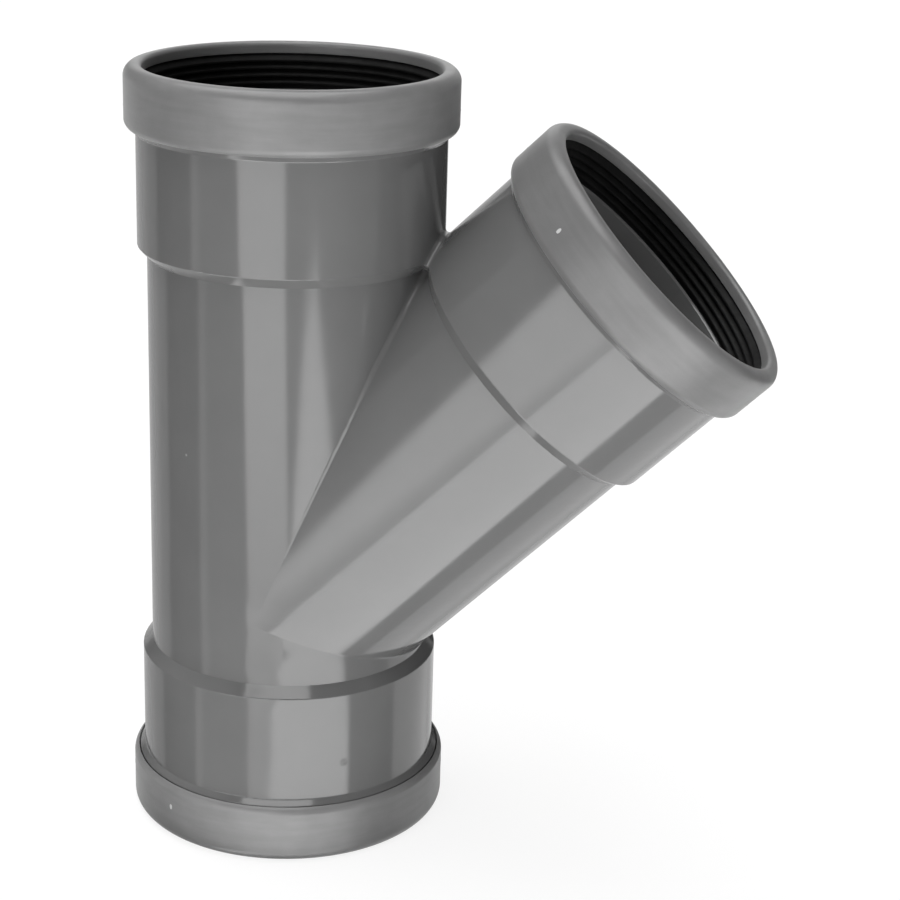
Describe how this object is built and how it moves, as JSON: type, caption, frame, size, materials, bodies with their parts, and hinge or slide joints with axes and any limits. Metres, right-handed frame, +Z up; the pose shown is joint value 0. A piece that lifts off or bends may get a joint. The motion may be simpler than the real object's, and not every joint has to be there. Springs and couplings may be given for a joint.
{
  "type": "lateral wye fitting",
  "caption": "Plastic waste-pipe wye: a straight run with a branch at 45 degrees, with a ring-seal socket and clip-on cap at each end.",
  "frame": {"origin": "centre of the lower socket's rim, the plane that the fitting stands on", "axes": "+Z up the axis of the straight run; the branch leans from it towards +X"},
  "size_m": [0.2508, 0.1264, 0.3014],
  "materials": {
    "body_plastic": "glossy grey moulded plastic",
    "cap_plastic": "satin grey moulded plastic",
    "seal_rubber": "dull black rubber"
  },
  "bodies": {
    "root": {"wye_body": "body_plastic", "run_top_cap": "cap_plastic", "branch_cap": "cap_plastic", "run_bottom_cap": "cap_plastic", "run_top_seal": "seal_rubber", "branch_seal": "seal_rubber", "run_bottom_seal": "seal_rubber"}
  },
  "joints": []
}
